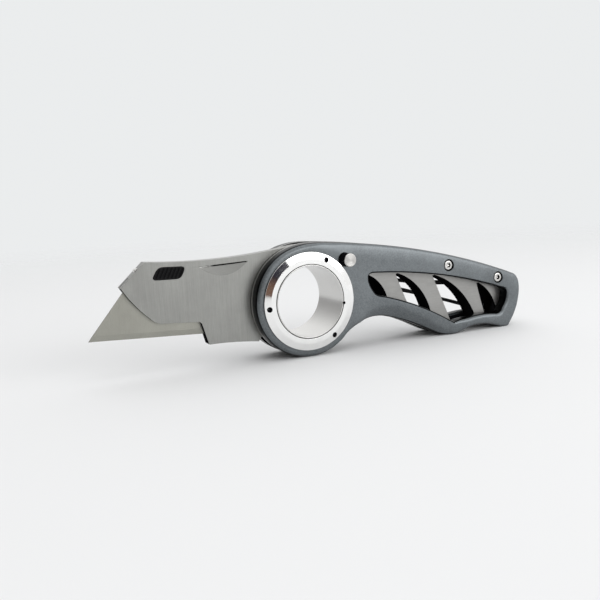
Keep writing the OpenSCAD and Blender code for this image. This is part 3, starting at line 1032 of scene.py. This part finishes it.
class KNIFE_OT_ring_pivot(bpy.types.Operator):
    """Make the hollow pivot sleeve and the polished ring nut"""

    bl_idname = "knife.ring_pivot"
    bl_label = "Ring pivot"

    def execute(self, context):
        shape = look()
        nut_low, nut_high = box_mm("ring_nut")
        outer_face, seat = -nut_low.y, -nut_high.y
        rim = nut_high.x
        _, sleeve_high = box_mm("pivot_sleeve")
        scale_face = -box_mm("front_scale")[0].y
        hub, journal = hub_and_journal("front_scale")
        bore = min(fitted_circle(loop)[1] for loop in face_loops("pivot_sleeve", -outer_face)
                   if fitted_circle(loop))
        profile = [
            (journal, -seat), (hub, -seat), (hub, -scale_face), (rim, -scale_face),
            (rim, -outer_face + shape.ring_fall), (shape.ring_flat, -outer_face), (journal, -outer_face),
        ]
        nut = lathe(rounded_profile(profile, 0.12), count=256).mesh("ring nut")
        cutters = joined("cutters", [*spanner_cutters(outer_face, -1), stake_cutter(journal, outer_face)])
        chrome, tree, shader = new_finish("ring chrome", 1.0)
        rings = pattern(tree, (5000, 5000, 1), detail=2, vector=round_and_across(tree))
        cloud = pattern(tree, (300, 300, 300), detail=5)
        tone(tree, shader, cloud, shade(colours().chrome, 0.97), shade(colours().chrome, 1.03))
        gloss(tree, shader, cloud, 0.045, 0.1)
        relief(tree, shader, rings, 0.0005)
        nut = set_down("polished_ring_nut", cut_away(nut, cutters), "ring_nut",
                       chrome, corner=35)
        black = shadow_black()

        # painted shade: the dull black goes inside the spanner holes, the stake mark and the seam groove, and
        # on the upright wall of the ring's rim
        def marks(middles, normals):
            flat = middles[:, [0, 2]]
            reach, steep = np.linalg.norm(flat, axis=1), np.abs(normals[:, 1]) < 0.6
            holes = [shape.spanner_circle * np.array((math.cos(t), math.sin(t))) for t in spanner_turns()]
            near = np.min([np.linalg.norm(flat - hole, axis=1) for hole in holes], axis=0)
            sunk = np.abs(middles[:, 1]) < outer_face - shape.ring_fall
            spanner = (near < shape.spanner_hole + 0.05) & (steep | sunk)
            below = np.abs(middles[:, 1]) < outer_face - 0.07
            stake = (np.linalg.norm(flat - stake_place(journal), axis=1) < shape.stake_hole) & below
            groove = (np.abs(reach - journal) < shape.seam) & below
            return spanner | stake | groove | ((reach > rim - 0.05) & steep)

        turned_shading(lined(nut, black, marks), skipped=1)
        back_face = sleeve_high.y
        bevel_start = back_face - shape.ring_fall
        lip = journal - shape.seam
        profile = [
            (bore, -outer_face), (lip, -outer_face), (lip, shape.seam_depth - outer_face),
            (journal, shape.seam_depth - outer_face), (journal, scale_face), (rim, scale_face),
            (rim, bevel_start), (shape.ring_flat, back_face), (bore, back_face),
        ]
        sleeve = lathe(rounded_profile(profile, 0.1), count=256).mesh("pivot sleeve")
        cutters = joined("cutters", [*spanner_cutters(back_face, 1), stake_cutter(journal, outer_face)])
        turned = turned_steel("turned sleeve steel", colours().sleeve, 0.24, 0.003)
        sleeve = set_down("turned_pivot_sleeve", cut_away(sleeve, cutters), "pivot_sleeve",
                          turned, corner=35)
        # the sleeve's spanner holes, stake mark and groove take the same painted shade
        turned_shading(lined(sleeve, black, marks), skipped=1)
        return {"FINISHED"}


def hub_and_journal(node):
    """The radii of the seat for the ring's hub and of the bore for the sleeve."""
    _, steps = max(bores(node), key=lambda bore: bore[1][0][0])
    return steps[0][0], steps[-1][0]


class KNIFE_OT_washers(bpy.types.Operator):
    """Make the two bronze pivot washers"""

    bl_idname = "knife.washers"
    bl_label = "Pivot washers"

    def execute(self, context):
        finish = turned_steel("bronze", colours().bronze, 0.3, 0.003)
        for side in ("front", "back"):
            machined(side + "_bronze_washer", side + "_washer", finish, 0)
        return {"FINISHED"}


def socket_cutter(centre, top, bottom, side):
    """A six-lobed socket between two distances across the knife, flared at its mouth."""
    turns = np.arange(60) * math.tau / 60
    middle_reach, lobe_height = 0.84, 0.13
    reach = middle_reach + lobe_height * np.cos(6 * turns)
    lobes = np.stack([reach * np.cos(turns), reach * np.sin(turns)], axis=1)
    drawn = Shell()
    mouth, throat, floor = (1.12, top + side * 0.5), (1.0, top - side * 0.08), (0.96, bottom)
    cone = (0.3, bottom - side * 0.12)
    rings = [drawn.ring(lobes * size + centre, y) for size, y in (mouth, throat, floor, cone)]
    for one, other in zip(rings, rings[1:]):
        drawn.band(one, other)
    drawn.faces += [tuple(rings[0]), tuple(rings[-1])]
    return drawn.mesh("socket")


def screw_group(name, node, finish, dome):
    """The screws of a CAD node: domed heads with six-lobed sockets, and threaded shanks."""
    low, high = box_mm(node)
    side = -1 if abs(low.y) > abs(high.y) else 1
    levels = sorted(flat_levels(node), key=lambda level: -side * level)
    top, floor, under, end = levels[0], levels[1], levels[2], levels[-1]
    heads = [c for c in map(fitted_circle, face_loops(node, top)) if c]
    shanks = [c for c in map(fitted_circle, face_loops(node, end)) if c]
    shank = shanks[0][1]
    pitch, groove = 0.4, 0.16
    meshes = []
    for centre, radius in heads:
        profile = [(0, top)]
        for t in np.linspace(0, math.pi / 2, 7):
            profile.append((radius - dome + dome * math.sin(t), top - side * dome * 0.8 * (1 - math.cos(t))))
        profile += [(radius, under + side * 0.06), (radius - 0.06, under), (shank, under)]
        turns = int((abs(under - end) - 0.7) / pitch)
        for n in range(turns):
            y = under - side * (0.4 + n * pitch)
            profile += [(shank, y), (shank - groove, y - side * pitch * 0.4), (shank, y - side * pitch * 0.8)]
        profile += [(shank, end + side * 0.15), (shank - 0.15, end), (0, end)]
        body = lathe(profile, centre, count=64).mesh("screw")
        meshes.append(cut_away(body, socket_cutter(centre, top, floor, side)))
    piece = set_down(name, joined(name, meshes), node, finish, corner=40)

    # painted shade: the walls deep in each socket take the dull black
    def sockets(middles, normals):
        near = [np.linalg.norm(middles[:, [0, 2]] - centre, axis=1) for centre, _ in heads]
        deep = side * middles[:, 1] < side * top - 0.1
        return (np.min(near, axis=0) < 1.0) & deep & (np.abs(normals[:, 1]) < 0.5)

    return even_faces(lined(piece, shadow_black(), sockets))


class KNIFE_OT_screws(bpy.types.Operator):
    """Make the scale screws and the clip screws"""

    bl_idname = "knife.screws"
    bl_label = "Screws"

    def execute(self, context):
        bright = plain_metal("screw steel", colours().bright, 0.24)
        black = plain_metal("black screw", colours().black, 0.36)
        for side in ("front", "back"):
            screw_group(side + "_six_lobe_screws", side + "_scale_screws", bright, 0.4)
        screw_group("clip_six_lobe_screws", "clip_screws", black, 0.55)
        return {"FINISHED"}


class KNIFE_OT_belt_clip(bpy.types.Operator):
    """Make the bent belt clip"""

    bl_idname = "knife.belt_clip"
    bl_label = "Belt clip"

    def execute(self, context):
        low, high = box_mm("belt_clip")
        drawn = welded("belt_clip")
        for x in np.arange(low.x + 0.5, high.x, 0.8):
            everything = drawn.verts[:] + drawn.edges[:] + drawn.faces[:]
            bmesh.ops.bisect_plane(drawn, geom=everything, plane_co=(x, 0, 0), plane_no=(1, 0, 0), dist=1e-4)
        x = np.array([v.co.x for v in drawn.verts])
        y = np.array([v.co.y for v in drawn.verts])
        places = np.arange(low.x, high.x + 0.01, 0.4)
        near = [np.abs(x - place) < 0.45 for place in places]
        under = np.array([y[n].min() if n.any() else low.y for n in near])
        over = np.array([y[n].max() if n.any() else high.y for n in near])
        thickness = float(np.median(over - under))
        half = max(1, round(look().clip_bend / 0.4 / 2))
        padded = np.pad(under, half, mode="edge")
        bent = np.convolve(padded, np.ones(2 * half + 1) / (2 * half + 1), mode="valid")
        for vert in drawn.verts:
            here = np.interp(vert.co.x, places, under)
            outer_skin = vert.co.y - here > thickness / 2
            vert.co.y = np.interp(vert.co.x, places, bent) + (thickness if outer_skin else 0)
        finish = plain_metal("clip black", colours().black, 0.4, grain=3500, metallic=0.4)
        mesh = kept(drawn, "belt clip")
        break_edges(set_down("bent_belt_clip", mesh, "belt_clip", finish), 0.12)
        return {"FINISHED"}


class KNIFE_OT_lock(bpy.types.Operator):
    """Make the lock button, its plunger and its coil spring"""

    bl_idname = "knife.lock"
    bl_label = "Lock"

    def execute(self, context):
        low, high = box_mm("lock_button")
        centre, radius = ((low.x + high.x) / 2, (low.z + high.z) / 2), (high.x - low.x) / 2
        top, chamfer, bore = low.y, 0.22, 0.9
        profile = [(0, top + 0.05), (0.18, top)]
        for groove in np.arange(0.45, radius - chamfer - 0.1, 0.26):
            profile += [(groove - 0.06, top), (groove, top + 0.035), (groove + 0.06, top)]
        profile += [(radius - chamfer, top), (radius - 0.06, top + 0.1), (radius, top + chamfer)]
        bore_end = high.y - 3
        profile += [(radius, high.y - 0.1), (radius - 0.1, high.y)]
        profile += [(bore, high.y), (bore, bore_end), (0, bore_end)]
        finish = plain_metal("lock button steel", shade(colours().bright, 0.75), 0.34)
        mesh = lathe(profile, centre, count=96).mesh("lock button")
        button = set_down("turned_lock_button", mesh, "lock_button", finish, corner=35)
        button.visible_glossy = False
        even_faces(lined(button, shadow_black(), lambda middles, normals: (
            (np.abs(normals[:, 1]) < 0.3) & (middles[:, 1] > top + chamfer)
        )))
        hard = plain_metal("plunger steel", colours().bright, 0.22)
        machined("lock_plunger_collar", "lock_plunger", hard, 0.08)
        low, high = box_mm("lock_spring")
        wire = 0.25
        middle, coil = Vector((low + high) / 2), (high.x - low.x) / 2 - wire
        turns, steps = 7, 28
        count = turns * steps
        t = np.arange(count + 1) / count
        closed = 0.9 / turns
        rise = np.interp(t, (0, closed, 1 - closed, 1), (0, 0.07, 0.93, 1))
        around = t * turns * math.tau
        points = np.stack([
            middle.x + coil * np.cos(around),
            low.y + wire + (high.y - low.y - 2 * wire) * rise,
            middle.z + coil * np.sin(around),
        ], axis=1)
        spring_steel = plain_metal("spring steel", colours().bright, 0.28)
        spring = set_down("lock_coil_spring", tube(points, wire).mesh("lock spring"), "lock_spring",
                          spring_steel)
        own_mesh(spring)
        return {"FINISHED"}


def within(middles, place, reach):
    """Which faces have their middles in a box, given by its middle and half its size."""
    return np.all(np.abs(middles - place) < reach, axis=1)


def shaded_cut_walls(middles, normals):
    """The carrier's faces given painted shade: the cut-out's walls beside the blade's edge, and the slot
    above the thumb groove.
    """
    cut_out_end, cut_out_top = -32, 9.5
    wall = np.abs(normals[:, 1]) < 0.5
    x, _, z = middles.T
    beside = wall & (x < cut_out_end) & (z < cut_out_top) & (normals[:, 2] < 0.1) & (normals[:, 0] < 0.3)
    slot_middle, slot_reach, slot_lean, slot_low = (-27.3, -1.55, 14.5), (9, 0.4, 0.6), 0.035, 13.25
    slot = within(middles, slot_middle, slot_reach) & (z + slot_lean * x > slot_low)
    return beside | slot


def thumb_groove(middles, normals):
    """The shallow slope of the thumb groove in the front carrier plate."""
    groove_start, groove_end, groove_low, groove_floor = -42, -14, 9, -1.3
    x, y, z = middles.T
    tilted = (np.abs(normals[:, 1]) > 0.9) & (normals[:, 2] > 0.05)
    return tilted & (x > groove_start) & (x < groove_end) & (z > groove_low) & (y < groove_floor)


class KNIFE_OT_carrier(bpy.types.Operator):
    """Make the two halves of the blade carrier and the pins that hold them together"""

    bl_idname = "knife.carrier"
    bl_label = "Blade carrier"

    def execute(self, context):
        finish = brushed_steel("carrier steel", colours().carrier, 0.36, (5200, 5200, 130))
        # the thumb groove's steel is brushed across and rougher, as milled steel is; its colour at 0.7 of the
        # carrier's is painted shade
        groove = brushed_steel("milled groove painted shade", shade(colours().carrier, 0.7), 0.5, (300, 5200, 5200))
        for half in ("front", "back"):
            node = "carrier_" + half + "_half"
            plate = machined(half + "_carrier_plate", node, finish, look().carrier_edge)
            lined(plate, shadow_black(), shaded_cut_walls)
            lined(plate, groove, thumb_groove)
        pins = plain_metal("carrier pin steel", colours().bright, 0.25)
        machined("carrier_pin_set", "carrier_pins", pins, 0.08)
        return {"FINISHED"}


class KNIFE_OT_release(bpy.types.Operator):
    """Make the ribbed release button, its catch and its leaf spring"""

    bl_idname = "knife.release"
    bl_label = "Blade release"

    def execute(self, context):
        shape = look()
        low, high = box_mm("release_button")
        outline = face_loops("release_button", high.y)[0]
        outline = turned_way(smooth_outline(outline, 0.2), True)
        middle = outline.mean(axis=0)
        lean = np.array([math.cos(shape.rib_slant), -math.sin(shape.rib_slant)])

        def height(points, extra=0.0):
            along = (points - middle) @ lean
            wave = 0.5 + 0.5 * np.cos(math.tau * along / shape.rib_pitch)
            inside = step_up(gap_to(points, outline), 0.2, 0.55)
            return low.y + shape.rib_depth * (wave**1.5) * inside + extra

        drawn = Shell()
        first, last = rounded_wall(drawn, outline, np.full(len(outline), 0.22), height, high.y, 0.05)
        drawn.sheet([first], spacing=0.13, height=height)
        drawn.sheet([last])
        finish = moulded_black(colours().ribbed)
        set_down("ribbed_release_button", drawn.mesh("release button"), "release_button", finish,
                 corner=60)
        steel = plain_metal("catch steel", colours().bright, 0.26)
        machined("release_catch_block", "release_catch", steel, 0.06)
        leaf = machined("release_leaf_spring", "release_spring", steel, 0.04)
        low, high = box_mm("release_spring")
        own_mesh(leaf)
        return {"FINISHED"}


class KNIFE_OT_blade(bpy.types.Operator):
    """Make the two-notch utility blade"""

    bl_idname = "knife.blade"
    bl_label = "Utility blade"

    def execute(self, context):
        finish = ground_blade(colours().blade, look().blade_tilt)
        machined("ground_utility_blade", "utility_blade", finish, 0.025)
        return {"FINISHED"}


# ---- stage ----


def camera_place():
    """The camera's right, up and back directions, and where it stands, in metres."""
    stage = bpy.context.scene.knife_stage
    a, e, roll = stage.azimuth, stage.elevation, stage.roll
    back = Vector((math.sin(a) * math.cos(e), -math.cos(a) * math.cos(e), math.sin(e)))
    right = Vector((math.cos(a), math.sin(a), 0))
    up = back.cross(right)
    right, up = (
        math.cos(roll) * right + math.sin(roll) * up,
        math.cos(roll) * up - math.sin(roll) * right,
    )
    place = (Vector(stage.aim) + stage.distance * back) * MM
    return right, up, back, place


def disc(name, radius, count=96, rings=24):
    """A flat round sheet of quads about a small middle face."""
    drawn = Shell()
    turns = np.arange(count) * math.tau / count
    made = []
    for share in np.linspace(0.02, 1, rings) ** 1.5:
        first = len(drawn.corners)
        drawn.corners += [(radius * share * math.cos(t), radius * share * math.sin(t), 0) for t in turns]
        made.append(list(range(first, first + count)))
    for one, other in zip(made, made[1:]):
        drawn.band(one, other)
    drawn.faces.append(tuple(made[0]))
    return drawn.mesh(name)


def floor_finish(stage):
    """Pale table that melts into the backdrop at its far edge, with a faint unevenness."""
    finish, tree, shader = new_finish("pale table", 0.0, roughness=0.8)
    shader.inputs["Specular IOR Level"].default_value = 0.1
    cloud = pattern(tree, (6, 6, 6), detail=3)
    tone(tree, shader, cloud, shade(colours().floor, 0.999), shade(colours().floor, 1.001))
    start, end = (stage.floor_radius * MM * share for share in (0.12, 0.95))
    fade = spread(tree, length_of(tree, places(tree)), start, end, 1, 0, smooth=True)
    tree.links.new(fade, shader.inputs["Alpha"])
    return finish


def softbox(name, place, size, power):
    """A rectangular light that faces the knife."""
    light = bpy.data.lights.new(name, "AREA")
    light.shape, light.size, light.size_y, light.energy = "RECTANGLE", size[0], size[1], power
    lamp = put_in(name, light)
    lamp.location = place
    lamp.rotation_euler = Vector(place).to_track_quat("Z", "Y").to_euler()


def room_light(stage):
    """A white room that darkens towards the knife's nose, seen by the camera as an even pale backdrop."""
    world = bpy.data.worlds.new("white room")
    bpy.context.scene.world = world
    world.use_nodes = True
    tree = world.node_tree
    seen, lit = tree.nodes["Background"], tree.nodes.new("ShaderNodeBackground")
    seen.inputs["Color"].default_value = (*colours().backdrop, 1)
    split = split_up(tree, places(tree, "Generated"))
    strength = tree.nodes.new("ShaderNodeMath")
    strength.operation = "MULTIPLY"
    upwards = spread(tree, split["Z"], -0.3, 0.5, 0.95, 1.1, smooth=True)
    tailwards = spread(tree, split["X"], -0.95, 0.15, stage.nose_side, 1, smooth=True)
    tree.links.new(upwards, strength.inputs[0])
    tree.links.new(tailwards, strength.inputs[1])
    tree.links.new(strength.outputs["Value"], lit.inputs["Strength"])
    lit.inputs["Color"].default_value = (stage.room, stage.room, stage.room, 1)
    switch, rays = tree.nodes.new("ShaderNodeMixShader"), tree.nodes.new("ShaderNodeLightPath")
    tree.links.new(rays.outputs["Is Camera Ray"], switch.inputs["Fac"])
    tree.links.new(lit.outputs["Background"], switch.inputs[1])
    tree.links.new(seen.outputs["Background"], switch.inputs[2])
    tree.links.new(switch.outputs["Shader"], tree.nodes["World Output"].inputs["Surface"])


def dark_card():
    """A curved dark panel in front of the knife, seen only where the polished ring's bevel reflects it."""
    bends = np.array([(-63, -82), (-50, 0), (-20, 72), (34, 140), (112, 197)], float)
    half_width, out_front = 52, 0.6
    way = smooth_outline(bends, 8, 80)
    way = way[: int(np.argmax(way[:, 1])) + 1]
    across = np.gradient(way, axis=0)[:, ::-1] * (-1, 1)
    across *= half_width / np.linalg.norm(across, axis=1)[:, None]
    drawn = Shell()
    one, other = drawn.ring(way - across, 0), drawn.ring(way + across, 0)
    drawn.faces = [(one[n], one[n + 1], other[n + 1], other[n]) for n in range(len(way) - 1)]
    mesh = drawn.mesh("dark card")
    mesh.transform(Matrix.Scale(MM, 4))
    card = put_in("dark card", mesh)
    card.location.y = -out_front
    finish, tree, shader = new_finish("dark cloth", 0.0, roughness=0.9)
    height = split_up(tree, places(tree, "Generated"))["Z"]
    tone(tree, shader, height, (0.16, 0.085, 0.055), (0.012, 0.010, 0.022), 0.42, 0.62)
    card.data.materials.append(finish)
    card.visible_camera = card.visible_shadow = card.visible_diffuse = False


class KNIFE_OT_stage(bpy.types.Operator):
    """Make the pale table, the soft lights and the camera"""

    bl_idname = "knife.stage"
    bl_label = "Stage"

    def execute(self, context):
        stage = context.scene.knife_stage
        floor = put_in("table", disc("table", stage.floor_radius * MM))
        floor.location.z = CAD_BOX[0].z
        floor.data.materials.append(floor_finish(stage))
        softbox("overhead softbox", (0.05, 0.05, 0.8), (1.2, 1.0), stage.overhead)
        softbox("front softbox", (0.42, -0.7, 0.30), (0.8, 0.34), stage.front)
        room_light(stage)
        dark_card()
        right, up, back, place = camera_place()
        lens = bpy.data.cameras.new("camera")
        lens.lens, lens.sensor_width = stage.lens, 36
        lens.clip_start, lens.clip_end = 0.01, 20
        camera = put_in("camera", lens)
        camera.matrix_world = Matrix.Translation(place) @ Matrix((right, up, back)).transposed().to_4x4()
        context.scene.camera = camera
        context.scene.view_settings.view_transform = "Standard"
        return {"FINISHED"}


# ---- the add-on ----

STEPS = (
    KNIFE_OT_grip_scales,
    KNIFE_OT_liners,
    KNIFE_OT_spine,
    KNIFE_OT_ring_pivot,
    KNIFE_OT_washers,
    KNIFE_OT_screws,
    KNIFE_OT_belt_clip,
    KNIFE_OT_lock,
    KNIFE_OT_carrier,
    KNIFE_OT_release,
    KNIFE_OT_blade,
    KNIFE_OT_stage,
)


class KNIFE_PT_pieces(bpy.types.Panel):
    """The knife's settings and the steps that make it"""

    bl_idname = "KNIFE_PT_pieces"
    bl_label = "Utility knife"
    bl_space_type = "VIEW_3D"
    bl_region_type = "UI"
    bl_category = "Knife"

    def draw(self, context):
        for group in SETTINGS:
            box = self.layout.box()
            settings = getattr(context.scene, group)
            for name in settings.bl_rna.properties.keys():
                if name not in ("rna_type", "name"):
                    box.prop(settings, name)
        for step in STEPS:
            self.layout.operator(step.bl_idname)


SETTINGS = {"knife_shape": KnifeShape, "knife_colours": KnifeColours, "knife_stage": KnifeStage}


def register():
    for kind in (*SETTINGS.values(), *STEPS, KNIFE_PT_pieces):
        bpy.utils.register_class(kind)
    for name, kind in SETTINGS.items():
        setattr(bpy.types.Scene, name, bpy.props.PointerProperty(type=kind))


def unregister():
    for name in SETTINGS:
        delattr(bpy.types.Scene, name)
    for kind in reversed((*SETTINGS.values(), *STEPS, KNIFE_PT_pieces)):
        bpy.utils.unregister_class(kind)


def main():
    """Makes the whole knife, one step after another."""
    register()
    for step in STEPS:
        group, name = step.bl_idname.split(".")
        getattr(getattr(bpy.ops, group), name)()


if __name__ == "__main__":
    main()
